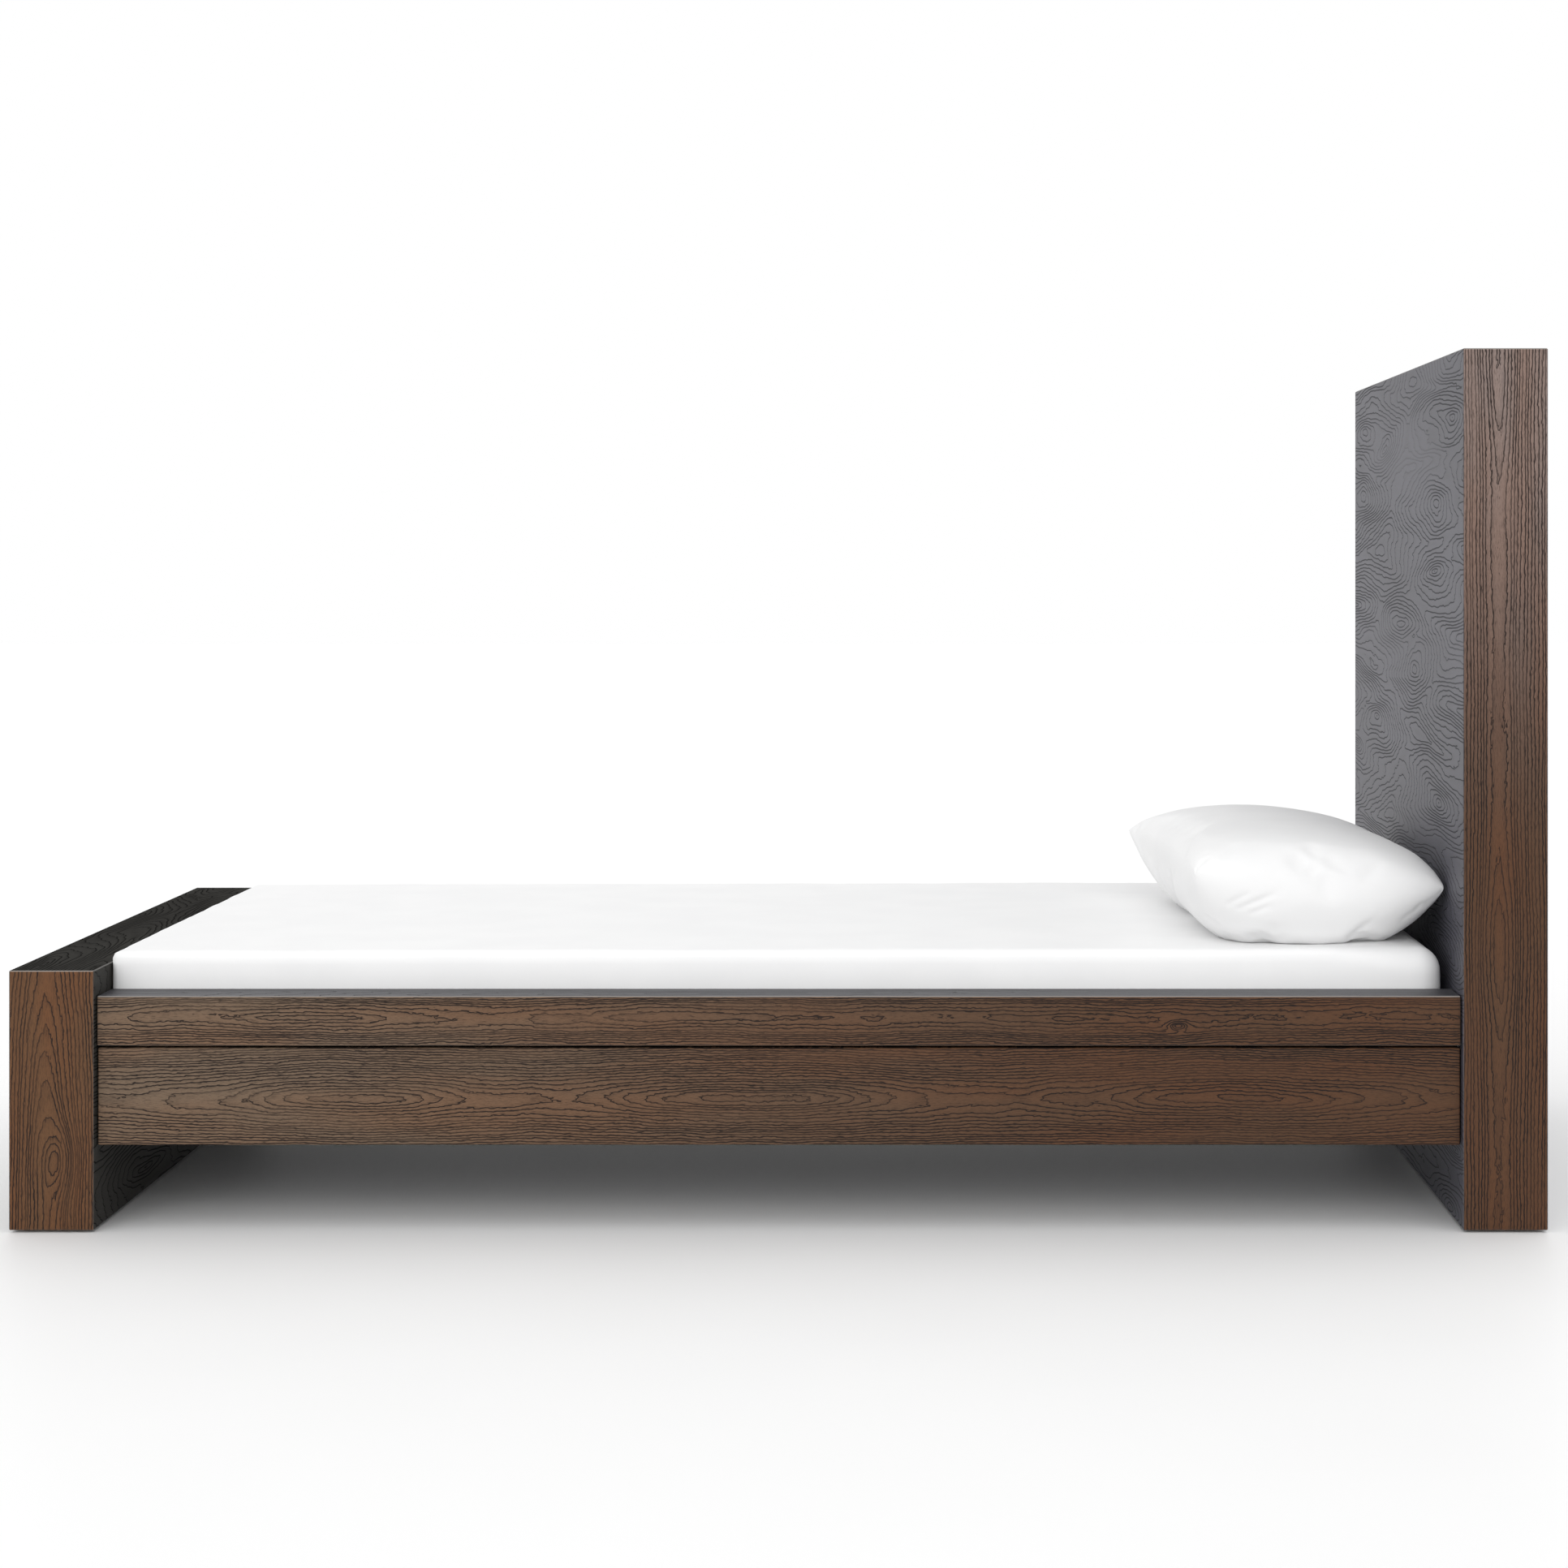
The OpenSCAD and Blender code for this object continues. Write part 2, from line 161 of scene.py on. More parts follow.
def plain_sawn(g, seed, spacing, pith=0.03, rise=0.0, lean=0.0, wander=0.02, waves=1.0, eyes=(), knots=()):
    """The ring number at a place on a plain-sawn board, in metres along and across its face: the distance
    from a pith that wanders behind the face, at lean across it. eyes are (along, depth, half length) where
    it comes nearest, and knots are (along, across, height, half length, half width)."""

    def rings(along, across):
        sway = g.noise(g.vector(g.times(along, 2.0 * waves), seed, 0.0), 1.0, 1.0)
        depth = g.noise(g.vector(g.times(along, 2.6 * waves), seed + 7.3, 0.0), 1.0, 1.0)
        side = g.add(g.add(across, -lean), g.times(g.add(sway, -0.5), wander))
        behind = g.add(g.add(g.times(along, rise), pith), g.times(g.add(depth, -0.5), wander))
        for at, near, length in eyes:
            behind = g.add(behind, g.times(gaussian(g, along, at, length), -near))
        radius = g.math("SQRT", g.add(g.times(side, side), g.times(behind, behind)))
        for at, off, height, length, width in knots:
            hill = g.times(gaussian(g, along, at, length), gaussian(g, across, off, width))
            radius = g.add(radius, g.times(hill, height))
        warp = g.noise(g.vector(g.times(along, 9.0 * waves), g.times(across, 30.0), seed), 1.0, 1.0)
        ragged = g.noise(g.vector(g.times(along, 80.0), g.times(across, 240.0), seed), 1.0, 1.0)
        years = g.noise(g.vector(g.times(radius, 70.0), seed + 2.9, 0.0), 1.0, 1.0)
        for wave, size in ((warp, 0.008), (ragged, 0.0024), (years, 0.010)):
            radius = g.add(radius, g.times(g.add(wave, -0.5), size))
        return g.times(radius, 1.0 / spacing)

    return rings


def burred(g, seed, spacing, stretch):
    """The ring number at a place on a highly figured veneer: ovals nested round scattered eyes, drawn out
    stretch times along the grain."""

    def rings(along, across):
        drawn = g.add(g.times(along, 1.0 / stretch), seed)
        at = g.vector(drawn, across, 0.0)
        sway = g.times(g.add(g.noise(at, 9.0, 1.0), -0.5), 0.09)
        drift = g.times(g.add(g.noise(at, 13.0, 1.0), -0.5), 0.07)
        bent = g.vector(g.add(drawn, sway), g.add(across, drift), 0.0)
        ragged = g.times(g.add(g.noise(at, 110.0, 1.0), -0.5), 0.005)
        return g.times(g.add(g.cells(bent, 9.0), ragged), 1.0 / spacing)

    return rings


def ring_lines(g, rings, along, across, thickness, most=1.0):
    """The dark lines between the years' growth, which are equally thick wherever the rings run but take
    up no more than the share most of a year, and how far each place is through its year, from 0 to 1."""
    step = 0.0005
    here = rings(along, across)
    slopes = [g.times(g.add(there, g.times(here, -1.0)), 1.0 / step)
              for there in (rings(g.add(along, step), across), rings(along, g.add(across, step)))]
    slope = g.math("SQRT", g.add(g.times(slopes[0], slopes[0]), g.times(slopes[1], slopes[1])))
    year = g.math("FRACT", here)
    gap = g.add(0.5, g.times(g.math("ABSOLUTE", g.add(year, -0.5)), -1.0))
    half = g.math("MINIMUM", g.times(slope, g.times(thickness, 0.5)), most / 2)
    line = g.span(g.math("DIVIDE", gap, half), 0.55, 1.5, 1.0, 0.0)
    return line, year


def pores(g, along, across, seed, length, width, low=0.54, high=0.70):
    """1 in the short dark vessels that run along the grain."""
    at = g.vector(g.times(along, 1.0 / length), g.times(across, 1.0 / width), seed)
    streaks = g.noise(at, 1.0, 2.0, 0.6)
    return g.span(streaks, low, high)


def board_axes(g, grain, across):
    parts = g.split(g.point)
    return parts[grain], parts[across]


# Tones of the brown oak, from the deepest to the palest: the stain, then paler, greyer tones of it that are
# painted sheen where more light falls
DEEP = (0.090, 0.046, 0.025)
WARM = (0.124, 0.061, 0.029)
SHEEN_PALE = (0.162, 0.114, 0.078)
SHEEN_GREYED = (0.225, 0.180, 0.166)
PORE = (0.024, 0.015, 0.012)


def brown_oak(name, grain, across, middle, seed, stain_and_sheen=(WARM, WARM), sheen_span=(0.0, 1.0), spacing=0.0046,
              edge_highlight=0.75, **figure):
    """Brown stained oak. middle is the board's middle across its grain, in metres. The colour goes from
    the first tone of stain_and_sheen to the second between the two places of sheen_span, along the grain:
    painted sheen, paler and greyer where more light falls. edge_highlight is how strongly its eased edges,
    the top ones most, are painted with a pale highlight."""
    g = Graph(name)
    along, position = board_axes(g, grain, across)
    off = g.add(position, -middle)
    vessels = pores(g, along, off, seed, 0.016, 0.0010)
    fine = pores(g, along, off, seed + 3.1, 0.008, 0.0006, 0.48, 0.72)
    thickness = g.span(vessels, 0.0, 1.0, 0.0016, 0.0034)
    line, year = ring_lines(g, plain_sawn(g, seed, spacing, **figure), along, off, thickness)
    strength = g.noise(g.vector(g.times(along, 4.0), g.times(off, 50.0), seed + 5.5), 1.0, 2.0)
    line = g.times(line, g.span(strength, 0.28, 0.58, 0.55, 1.0))
    cloud = g.noise(g.vector(g.times(along, 2.4), g.times(off, 13.0), seed + 1.7), 1.0, 3.0)
    # Painted sheen: the stain turns to a paler tone along the grain, where more light falls on the board.
    base = g.mix(g.span(along, *sheen_span), *stain_and_sheen)
    reddish = g.mix(1.0, base, (1.10, 0.94, 0.84), "MULTIPLY")
    clouded = g.mix(g.span(cloud, 0.32, 0.68), base, reddish)
    porous = g.mix(g.times(g.span(year, 0.35, 1.0), g.span(vessels, 0.0, 1.0, 0.22, 0.75)), clouded, PORE)
    streaked = g.mix(g.times(vessels, 0.42), porous, PORE)
    fibred = g.mix(g.times(fine, 0.40), streaked, PORE)
    colour = g.mix(g.times(line, 0.94), fibred, (0.014, 0.010, 0.009))
    # Painted highlight: the eased edges, the top ones most, are lightened towards a pale grey-brown.
    edge_highlit = g.mix(g.times(eased_edges(g), edge_highlight), colour, (0.42, 0.37, 0.33))
    g.bump(g.add(g.times(line, -0.5), g.times(g.add(vessels, fine), -0.4)), 0.0004, 0.6)
    return g.finish(edge_highlit, g.span(line, 0.0, 1.0, 0.50, 0.62), Specular_IOR_Level=0.12)


def charcoal_veneer(name, grain, across, seed, spacing=0.0064, stretch=5.0, tint=(1.0, 1.0, 1.0), shine=0.5):
    """Figured oak veneer, stained charcoal. stretch is how far its figure is drawn out along the grain."""
    g = Graph(name)
    along, off = board_axes(g, grain, across)
    line, year = ring_lines(g, burred(g, seed, spacing, stretch), along, off, 0.0021, 0.5)
    strength = g.noise(g.vector(g.times(along, 1.2), g.times(off, 5.0), seed + 5.5), 1.0, 3.0)
    line = g.times(line, g.span(strength, 0.34, 0.56, 0.25, 0.85))
    vessels = pores(g, along, off, seed, 0.030, 0.0010)
    cloud = g.noise(g.vector(g.times(along, 1.5), g.times(off, 4.0), seed + 4.1), 1.0, 2.0)
    light, middle, dark = (tuple(t * c for t, c in zip(tint, tone)) for tone in (
        (0.066, 0.064, 0.082), (0.054, 0.052, 0.067), (0.010, 0.010, 0.013)))
    base = g.mix(g.span(cloud, 0.35, 0.65), middle, light)
    streaked = g.mix(g.times(vessels, 0.25), base, dark)
    shaded = g.mix(g.span(year, 0.4, 1.0, 0.0, 0.25), streaked, dark)
    colour = g.mix(g.times(line, 0.95), shaded, dark)
    # Painted highlight: the eased edges, the top ones most, are lightened towards a pale grey.
    edge_highlit = g.mix(g.times(eased_edges(g), 0.5), colour, (0.26, 0.25, 0.24))
    g.bump(g.add(g.times(line, -1.0), g.times(vessels, -0.4)), 0.0004, 0.5)
    return g.finish(edge_highlit, g.span(line, 0.0, 1.0, 0.48, 0.80), Specular_IOR_Level=shine)


def plain_softwood(name, grain, across, seed, light, dark):
    """Timber of the hidden frame and the slats."""
    g = Graph(name)
    along, off = board_axes(g, grain, across)
    line, _ = ring_lines(g, plain_sawn(g, seed, 0.005, rise=0.02, wander=0.05), along, off, 0.0022)
    fibres = g.noise(g.vector(g.times(along, 18.0), g.times(off, 700.0), seed), 1.0, 3.0)
    colour = g.mix(g.span(fibres, 0.35, 0.65, 0.0, 0.35), g.mix(line, light, dark), dark)
    g.bump(fibres, 0.0003, 0.5)
    return g.finish(colour, g.span(fibres, 0.3, 0.7, 0.55, 0.7))


# ---- Metal, plastic and cloth ----


def zinc_plate():
    g = Graph("zinc_plate")
    crystals = g.noise(g.point, 900.0, 3.0)
    colour = g.mix(g.span(crystals, 0.35, 0.65), (0.46, 0.47, 0.50), (0.66, 0.67, 0.69))
    g.bump(g.noise(g.point, 2500.0, 2.0), 0.00005, 0.4)
    return g.finish(colour, g.span(crystals, 0.3, 0.7, 0.28, 0.42), Metallic=1.0)


def moulded_nylon():
    g = Graph("moulded_nylon")
    grain = g.noise(g.point, 1800.0, 2.0)
    colour = g.mix(grain, (0.012, 0.012, 0.013), (0.030, 0.030, 0.032))
    g.bump(grain, 0.00008, 0.5)
    return g.finish(colour, g.span(grain, 0.3, 0.7, 0.42, 0.58))


def woven_cotton(name, tone, thread=0.0007):
    """Plain weave: warp and weft threads that pass over each other in turn."""
    g = Graph(name)
    x, y, z = g.split(g.point)
    turn = math.pi / thread
    warp = g.math("SINE", g.times(g.add(x, g.times(z, 0.7)), turn))
    weft = g.math("SINE", g.times(g.add(y, g.times(z, 0.7)), turn))
    weave = g.times(warp, weft)
    slub = g.noise(g.vector(g.times(x, 90.0), g.times(y, 900.0), g.times(z, 500.0)), 1.0, 2.0)
    shade = g.span(g.noise(g.point, 9.0, 3.0), 0.3, 0.7)
    light = tuple(tone * c for c in (0.89, 0.89, 0.89))
    soft = tuple(tone * c for c in (0.87, 0.87, 0.872))
    colour = g.mix(g.span(weave, -1.0, 1.0, 0.0, 0.10), g.mix(shade, light, soft), (0.70, 0.70, 0.70))
    g.bump(g.add(g.times(weave, 0.5), slub), 0.00012, 0.35)
    return g.finish(colour, g.span(slub, 0.3, 0.7, 0.86, 0.97), Specular_IOR_Level=0.2, Sheen_Weight=0.02)


def mattress_ticking():
    """Knitted ticking with a small diamond quilting, painted near-black on the mattress's underside as
    painted shade under the bed.
    """
    g = Graph("mattress_ticking")
    x, y, z = g.split(g.point)
    turn = math.pi / 0.045
    one = g.math("ABSOLUTE", g.math("SINE", g.times(g.add(g.add(x, y), z), turn)))
    two = g.math("ABSOLUTE", g.math("SINE", g.times(g.add(g.add(x, g.times(y, -1.0)), z), turn)))
    quilt = g.math("POWER", g.times(one, two), 0.4)
    knit = g.noise(g.vector(g.times(x, 700.0), g.times(y, 700.0), g.times(z, 700.0)), 1.0, 2.0)
    pale = g.mix(g.span(quilt, 0.0, 0.5), (0.55, 0.54, 0.51), (0.76, 0.75, 0.71))
    # Painted shade: the underside is near-black so that the space under the bed stays dark.
    underside = g.span(g.split(g.normal)[Z], -0.9, -0.6, 1.0, 0.0)
    dark = g.mix(g.span(quilt, 0.0, 0.5), (0.020, 0.020, 0.021), (0.034, 0.034, 0.036))
    colour = g.mix(underside, pale, dark)
    g.bump(g.add(quilt, g.times(knit, 0.15)), 0.003, 0.7)
    return g.finish(colour, g.span(knit, 0.3, 0.7, 0.8, 0.95), Sheen_Weight=0.2)


# ---- Materials on the CAD boards ----


def middle_of(node, axis):
    low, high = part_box(node)
    return (low[axis] + high[axis]) / 2


def paint(material, *nodes):
    for node in nodes:
        mesh = NODES[node].data
        mesh.materials.clear()
        mesh.materials.append(material)


def paint_boards():
    ends = {
        # The headboard's ends get a painted sheen that turns them paler and greyer towards the top.
        "headboard_right_end": dict(seed=2.0, pith=0.016, lean=-0.010, wander=0.012, waves=0.6,
                                    stain_and_sheen=(DEEP, SHEEN_GREYED), sheen_span=(0.50, 1.35),
                                    eyes=((0.40, 0.011, 0.09), (1.34, 0.012, 0.14))),
        "headboard_left_end": dict(seed=9.0, pith=0.018, lean=0.012, wander=0.014, waves=0.7,
                                   stain_and_sheen=(DEEP, SHEEN_GREYED), sheen_span=(0.50, 1.35), eyes=((0.9, 0.010, 0.16),)),
        "footboard_right_end": dict(seed=5.0, pith=0.003, rise=0.085, lean=-0.008, wander=0.006,
                                    knots=((0.108, 0.013, -0.022, 0.050, 0.024),)),
        "footboard_left_end": dict(seed=12.0, pith=0.010, rise=0.08, wander=0.016),
    }
    for node, figure in ends.items():
        paint(brown_oak(node + "_oak", Z, X, middle_of(node, X), **figure), node)
    # Painted sheen: the rails turn paler towards the foot end.
    rail_sheen = dict(stain_and_sheen=(SHEEN_PALE, DEEP), sheen_span=(-1.15, 0.75))
    rails = {
        "right_rail_face": dict(seed=3.0, pith=0.014, lean=0.005, wander=0.014, waves=1.4, spacing=0.0035,
                                eyes=((-0.72, 0.010, 0.13), (-0.10, 0.006, 0.25), (0.42, 0.008, 0.20)),
                                knots=((0.59, -0.006, 0.016, 0.016, 0.007),)),
        "left_rail_face": dict(seed=15.0, pith=0.014, wander=0.014, waves=1.4, spacing=0.0035,
                               eyes=((0.2, 0.010, 0.25),)),
        "right_fascia": dict(seed=6.0, pith=0.032, lean=-0.004, wander=0.014, waves=1.3, spacing=0.0038,
                             edge_highlight=0.0,
                             eyes=((-0.05, 0.026, 0.24), (-0.62, 0.021, 0.19), (0.66, 0.021, 0.21))),
        "left_fascia": dict(seed=18.0, pith=0.032, wander=0.016, spacing=0.0038, edge_highlight=0.0,
                            eyes=((-0.4, 0.024, 0.26), (0.5, 0.022, 0.22))),
    }
    for node, figure in rails.items():
        paint(brown_oak(node + "_oak", X, Z, middle_of(node, Z), **rail_sheen, **figure), node)
    paint(charcoal_veneer("headboard_face_veneer", Y, Z, 1.0), "headboard_face_panel")
    paint(charcoal_veneer("headboard_back_veneer", Y, Z, 21.0), "headboard_back_panel")
    # The footboard's panels take a darker, greener copy of the charcoal veneer: painted shade for the shadow
    # the mattress casts on the footboard's inner face.
    paint(charcoal_veneer("footboard_shaded_veneer", Y, Z, 31.0, tint=(0.72, 0.71, 0.50), shine=0.04),
          "footboard_inner_panel", "footboard_outer_panel")
    paint(charcoal_veneer("slab_top_veneer", Y, X, 41.0, tint=(0.66, 0.66, 0.48), shine=0.0),
          "headboard_top_board", "footboard_top_board", "headboard_bottom_board", "footboard_bottom_board")
    # The rails' cores and backing rails take the same dark veneer: partly a dark stain, partly painted shade
    # where the backing rail shows in the shadow gap under the upper rail.
    paint(charcoal_veneer("rail_top_veneer", X, Y, 51.0, stretch=12.0, tint=(0.74, 0.74, 0.66), shine=0.5),
          "left_rail_top", "right_rail_top", "left_rail_core", "right_rail_core",
          "left_backing_rail", "right_backing_rail")
    paint(plain_softwood("frame_pine", Z, Y, 61.0, (0.56, 0.38, 0.21), (0.40, 0.24, 0.12)),
          "headboard_core_frame", "footboard_core_frame")
    # Ledgers and slats are painted near-black: painted shade that keeps the space under the bed as dark as
    # its shadow.
    dark = ((0.060, 0.056, 0.054), (0.030, 0.028, 0.028))
    paint(plain_softwood("ledger_timber", X, Z, 64.0, *dark), "left_slat_ledger", "right_slat_ledger")
    slats = sorted(name for name in NODES if name.startswith(("slat_0", "slat_1")))
    for number, slat in enumerate(slats):
        paint(plain_softwood(slat + "_timber", Y, X, 70.0 + number, *dark), slat)


def paint_hardware():
    paint(zinc_plate(), "leveler_nuts", "rail_hook_plates", "rail_receiver_plates",
          "slat_screws", "ledger_screws", "plate_screws", *(n for n in NODES if n.endswith("_leveler_stem")))
    paint(moulded_nylon(), *(n for n in NODES if n.endswith("_leveler_pad")))


# ---- Soft pieces ----


def spaced(low, high, step, rim):
    """Places from low to high about a step apart, closer within rim of either end."""
    near = [low + rim * k / 4 for k in range(4)]
    far = [high - rim * k / 4 for k in range(3, -1, -1)]
    count = max(1, round((high - low - 2 * rim) / step))
    return near + [low + rim + (high - low - 2 * rim) * k / count for k in range(count + 1)] + far


def box_shell(low, high, step, rim, keep=lambda centre: True):
    """Mesh of a box's surface as a lattice of quads. keep says which quads stay, by their centres."""
    ticks = [spaced(low[a], high[a], step, rim) for a in range(3)]
    mesh = bmesh.new()
    corner = {}

    def vertex(index):
        if index not in corner:
            corner[index] = mesh.verts.new([ticks[a][index[a]] for a in range(3)])
        return corner[index]

    for axis in range(3):
        one, two = (axis + 1) % 3, (axis + 2) % 3
        for side in (0, len(ticks[axis]) - 1):
            for i in range(len(ticks[one]) - 1):
                for j in range(len(ticks[two]) - 1):
                    ring = []
                    for di, dj in ((0, 0), (1, 0), (1, 1), (0, 1)):
                        index = [0, 0, 0]
                        index[axis], index[one], index[two] = side, i + di, j + dj
                        ring.append(tuple(index))
                    centre = [sum(ticks[a][index[a]] for index in ring) / 4 for a in range(3)]
                    if keep(centre):
                        mesh.faces.new([vertex(index) for index in (ring if side else ring[::-1])])
    return mesh


def to_object(mesh, name, material, smooth=True):
    data = bpy.data.meshes.new(name)
    mesh.normal_update()
    mesh.to_mesh(data)
    mesh.free()
    data.materials.append(material)
    data.polygons.foreach_set("use_smooth", [smooth] * len(data.polygons))
    obj = bpy.data.objects.new(name, data)
    bpy.context.scene.collection.objects.link(obj)
    return obj


def rounded(point, low, high, radius, upright):
    """The point of a box's surface moved onto the same box with its edges rounded: by upright where they
    stand, and by radius where they lie."""
    place = point.copy()
    for reach, axes in ((upright, (X, Y)), (radius, (X, Y, Z))):
        core = place.copy()
        for a in axes:
            core[a] = min(max(place[a], low[a] + reach), high[a] - reach)
        if (place - core).length > reach:
            place = core + (place - core).normalized() * reach
    return place


def mattress_shape(point, low, high):
    """Round the edges, most at the head end, crown the top a little, let the long sides and the head end
    belly, and rumple it all by less than a millimetre."""
    u = 2 * (point.x - low[X]) / (high[X] - low[X]) - 1
    p = rounded(point, low, high, 0.011 + 0.025 * min(max(8 * u - 6.6, 0.0), 1.0), 0.002)
    v = 2 * (p.y - low[Y]) / (high[Y] - low[Y]) - 1
    height = (p.z - low[Z]) / (high[Z] - low[Z])
    p.z += height * (0.005 * (1 - v * v) * (1 - u ** 4) - 0.002 + 0.002 * u)
    belly = math.sin(math.pi * min(max(height, 0.0), 1.0))
    p.y += 0.0015 * belly * v * (1 - u ** 8)
    p.x += 0.003 * belly * max(u, 0.0) ** 16 * (1 - v ** 8)
    rumple = noise.noise(Vector((p.x * 9, p.y * 22, p.z * 14))) + noise.noise(p * 40) * 0.5
    p.y += 0.0012 * rumple * belly * v ** 9
    p.z += 0.0010 * rumple * max(height, 0.0) ** 4
    return p


def make_mattress():
    low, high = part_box("mattress")
    gap = 0.0015
    low = [c + gap for c in low]
    high = [c - gap for c in high]
    mesh = box_shell(low, high, 0.032, 0.04)
    for vertex in mesh.verts:
        vertex.co = mattress_shape(vertex.co, low, high)
    piece = to_object(mesh, "mattress_body", mattress_ticking())
    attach(piece, "mattress")
    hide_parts("mattress")


def make_sheet():
    low, high = (list(c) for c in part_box("fitted_sheet"))
    hem = 0.08
    floor = low[Z] + 1e-4

    def above(centre):
        inside = low[X] + hem < centre[X] < high[X] - hem and low[Y] + hem < centre[Y] < high[Y] - hem
        return centre[Z] > floor or not inside

    mesh = box_shell(low, high, 0.016, 0.04, above)
    for vertex in mesh.verts:
        vertex.co = mattress_shape(vertex.co, low, high)
    piece = to_object(mesh, "bed_sheet", woven_cotton("sheet_cotton", 1.0))
    shell = piece.modifiers.new("cloth_thickness", "SOLIDIFY")
    shell.thickness = 0.0008
    shell.offset = -1.0
    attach(piece, "mattress")
    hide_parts("fitted_sheet")


def pillow_place(u, v, side, low, high):
    """A place on a full pillow, for u across and v along it from -1 to 1, on its upper (1) or lower (-1)
    side. The corner farthest from the headboard and the near side is its only sharp one."""
    rise = max(0.0, (1 - u * u) * (1 - abs(v) ** (4 if v > 0 else 6)))
    corner = abs(u * v) ** 4
    blunt = 0.014 if u > 0 else 0.0 if v > 0 else 0.024
    half, pinch = (0.211, 0.020) if u > 0 else (0.203, 0.078)
    point = Vector((
        half * u * (1 - pinch * (1 - v * v)) - blunt * corner * u,
        0.334 * v * (1 - 0.010 * (1 - u * u)) - blunt * corner * v,
        rise ** 0.48 * 0.069 if side > 0 else -(0.148 - 0.050 * max(u, 0.0) ** 2) * rise ** 0.56,
    ))
    point.rotate(Euler((0.0, 0.071, 0.050)))
    point += Vector(((low[X] + high[X]) / 2, (low[Y] + high[Y]) / 2, 0.5067))
    point.z = max(point.z, low[Z] + 0.001)
    return point


def make_pillow():
    """Two panels of cotton sewn at the rim, with a little more cloth than the filling needs, so that
    pressure from inside draws it up at the seam. It stays within a few millimetres of its shape."""
    low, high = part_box("pillowcase")
    count = (64, 100)
    mesh = bmesh.new()
    layers = []
    for side in (1, -1):
        layer = {}
        for i in range(count[0] + 1):
            for j in range(count[1] + 1):
                if side < 0 and (i in (0, count[0]) or j in (0, count[1])):
                    layer[i, j] = layers[0][i, j]
                    continue
                u, v = (math.sin(math.pi / 2 * (2 * k / n - 1) * 0.92) / math.sin(math.pi / 2 * 0.92)
                        for k, n in ((i, count[0]), (j, count[1])))
                layer[i, j] = mesh.verts.new(pillow_place(u, v, side, low, high))
        layers.append(layer)
        for i in range(count[0]):
            for j in range(count[1]):
                ring = [layer[i, j], layer[i + 1, j], layer[i + 1, j + 1], layer[i, j + 1]]
                mesh.faces.new(ring if side > 0 else ring[::-1])
    piece = to_object(mesh, "pillow_cover", woven_cotton("pillowcase_cotton", 0.95))
    settle(piece, pressure=2.0, slack=0.02, frames=20, most=0.006)
    smooth = piece.modifiers.new("finer", "SUBSURF")
    smooth.levels = smooth.render_levels = 1
    bpy.ops.object.modifier_apply(modifier=smooth.name)
    normals = [vertex.normal.copy() for vertex in piece.data.vertices]
    for vertex, normal in zip(piece.data.vertices, normals):
        vertex.co -= normal * crease_depth(vertex.co, normal)
        vertex.co.z = max(vertex.co.z, low[Z])
    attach(piece, "pillow")
    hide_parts("pillowcase", "pillow")


# Creases on the pillow's near side, each from and to a place across and up, then its depth, in metres
PILLOW_CREASES = [
    (0.671, 0.470, 0.708, 0.492, 0.0022), (0.684, 0.463, 0.752, 0.492, 0.0030),
    (0.703, 0.456, 0.742, 0.472, 0.0022), (0.640, 0.452, 0.668, 0.430, 0.0015),
    (0.955, 0.452, 0.972, 0.474, 0.0015), (0.940, 0.440, 0.955, 0.458, 0.0012),
]


def crease_depth(place, normal):
    """How far the cloth is drawn in: at the creases, and a little everywhere."""
    depth = 0.0005 * noise.noise(Vector((place.x * 25, place.y * 16, place.z * 25)))
    if normal.y < -0.1:
        for x0, z0, x1, z1, deepest in PILLOW_CREASES:
            reach = Vector((x1 - x0, z1 - z0))
            off = Vector((place.x - x0, place.z - z0))
            share = min(max(off.dot(reach) / reach.length_squared, 0.0), 1.0)
            across = (off - share * reach).length / 0.0042
            depth += deepest * math.sin(math.pi * share) ** 0.5 * math.exp(-across * across)
    return depth


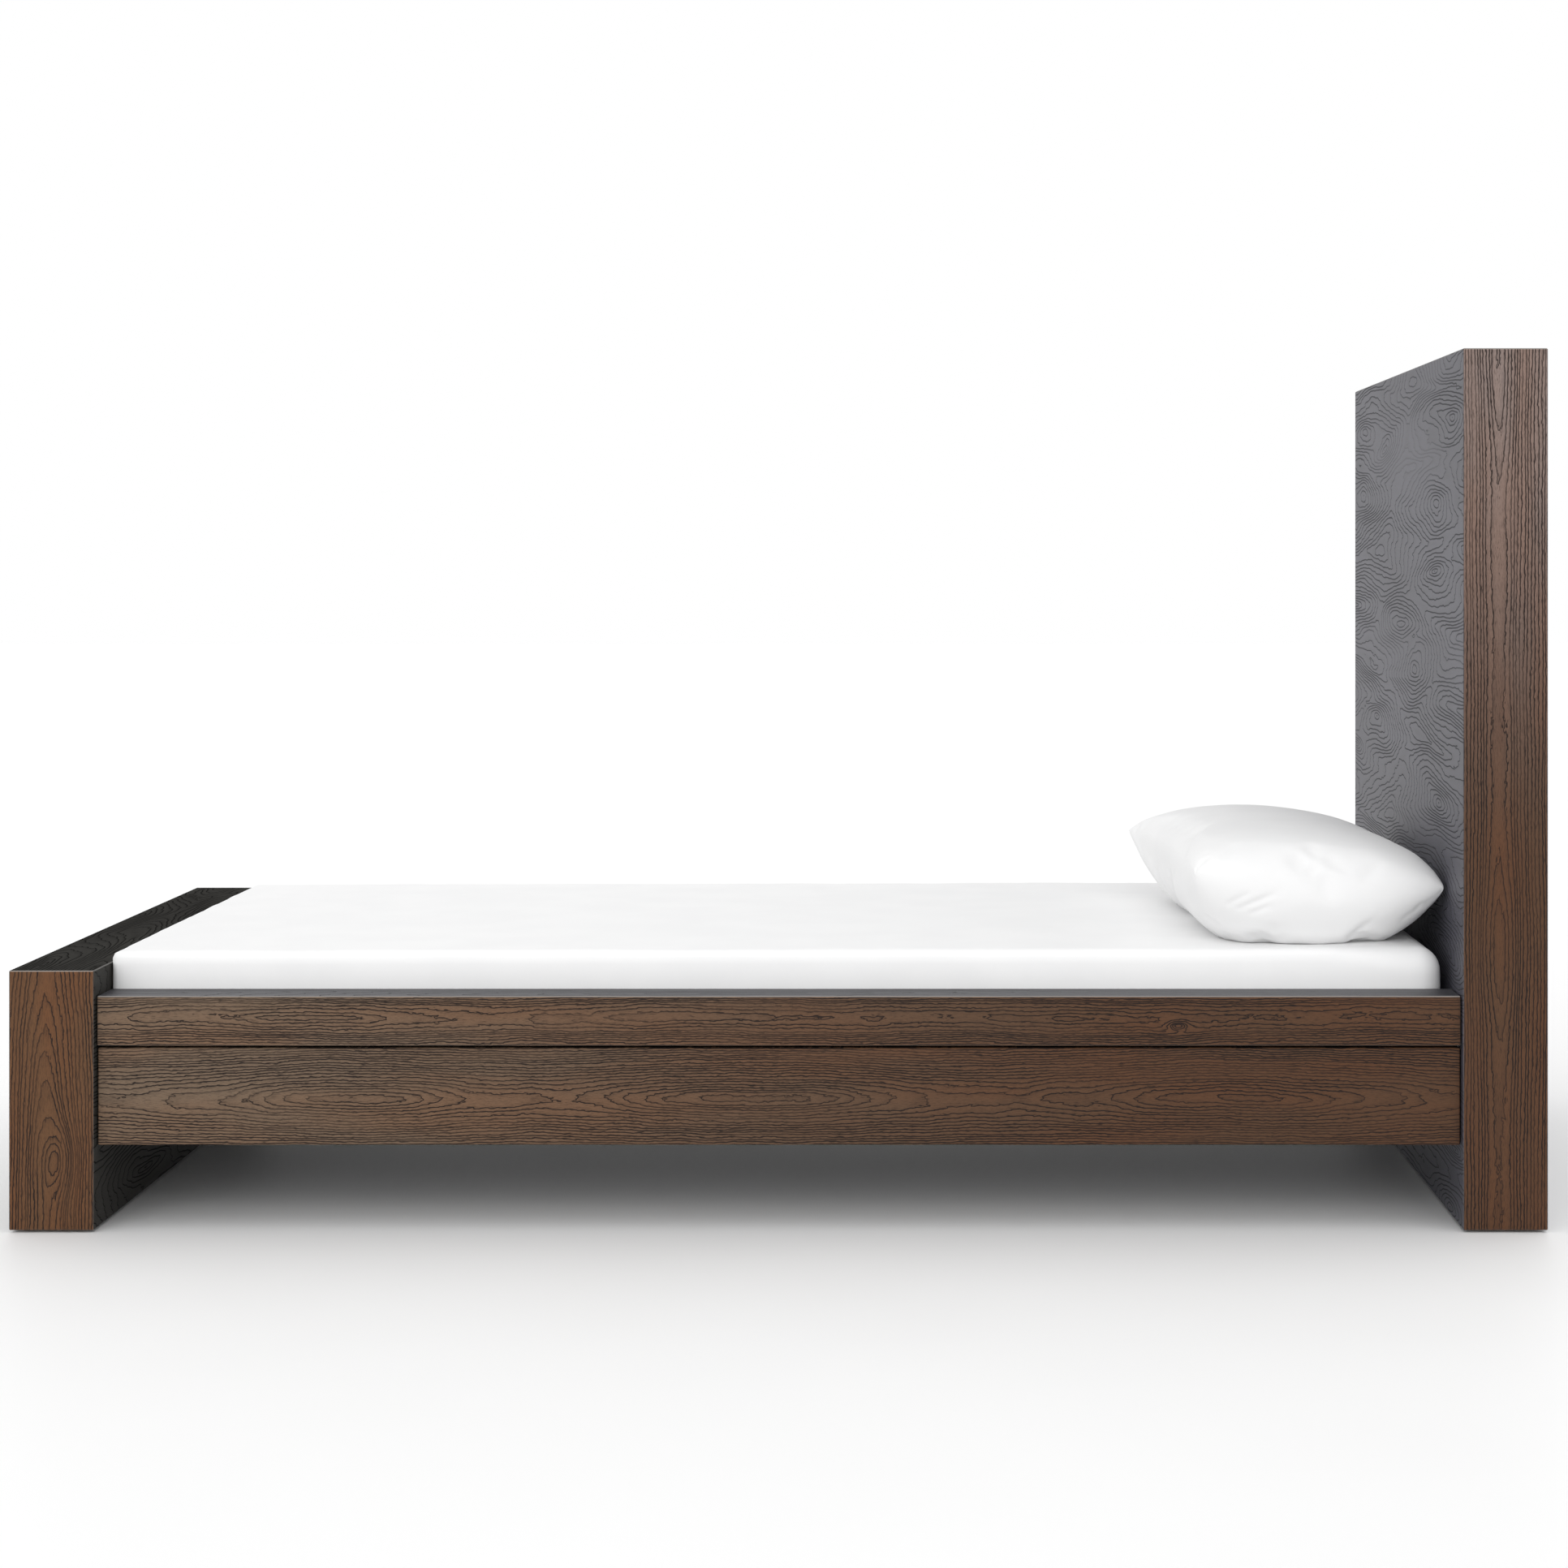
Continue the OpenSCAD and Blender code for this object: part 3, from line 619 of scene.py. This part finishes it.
def settle(piece, pressure, slack, frames, most):
    """Blow a closed piece up as cloth that is larger than its shape by the share slack, let it come to
    rest, and keep every point within most of where it began."""
    begun = [vertex.co.copy() for vertex in piece.data.vertices]
    cloth = piece.modifiers.new("filling", "CLOTH")
    cloth.settings.use_pressure = True
    cloth.settings.uniform_pressure_force = pressure
    cloth.settings.shrink_min = -slack
    cloth.settings.effector_weights.gravity = 0.0
    cloth.settings.tension_stiffness = 40.0
    cloth.settings.compression_stiffness = 40.0
    cloth.settings.shear_stiffness = 10.0
    cloth.settings.bending_stiffness = 0.8
    cloth.settings.tension_damping = cloth.settings.compression_damping = 10.0
    cloth.settings.quality = 6
    cloth.point_cache.frame_end = frames
    scene = bpy.context.scene
    for step in range(1, frames + 1):
        scene.frame_set(step)
    bpy.context.view_layer.objects.active = piece
    bpy.ops.object.modifier_apply(modifier=cloth.name)
    scene.frame_set(1)
    for vertex, start in zip(piece.data.vertices, begun):
        shift = vertex.co - start
        if shift.length > most:
            vertex.co = start + shift.normalized() * most


# ---- Studio ----


def make_studio():
    """A pale floor under an even white sky, and one wide soft light from the front."""
    floor = bmesh.new()
    bmesh.ops.create_grid(floor, x_segments=1, y_segments=1, size=30.0)
    g = Graph("studio_floor")
    cloudy = g.noise(g.point, 3.0, 2.0)
    plane = to_object(floor, "studio_floor", g.finish(
        g.mix(cloudy, (0.95, 0.95, 0.95), (0.96, 0.96, 0.96)), g.span(cloudy, 0.0, 1.0, 0.50, 0.54),
        Specular_IOR_Level=0.3), False)
    world = bpy.data.worlds.new("studio")
    world.use_nodes = True
    world.node_tree.nodes["Background"].inputs["Color"].default_value = (1.0, 1.0, 1.0, 1.0)
    world.node_tree.nodes["Background"].inputs["Strength"].default_value = 1.0
    bpy.context.scene.world = world
    lamp = bpy.data.lights.new("front_light", "SUN")
    lamp.energy = 0.95
    lamp.angle = math.radians(50)
    sun = bpy.data.objects.new("front_light", lamp)
    sun.rotation_euler = Vector((0.15, 1.0, -0.30)).to_track_quat("-Z", "Y").to_euler()
    bpy.context.scene.collection.objects.link(sun)


def make_camera():
    """Square on to the bed's long side, from a little to the head's side of its middle."""
    data = bpy.data.cameras.new("photo_camera")
    data.lens = 65.23
    data.sensor_width = 36.0
    data.shift_x = -0.0942
    data.shift_y = -0.1413
    camera = bpy.data.objects.new("photo_camera", data)
    camera.location = (0.226, -4.725, 0.989)
    camera.rotation_euler = (math.radians(90), 0, 0)
    bpy.context.scene.collection.objects.link(camera)
    bpy.context.scene.camera = camera
    bpy.context.scene.view_settings.view_transform = "Standard"


make_camera()
paint_boards()
paint_hardware()
make_mattress()
make_sheet()
make_pillow()
make_studio()
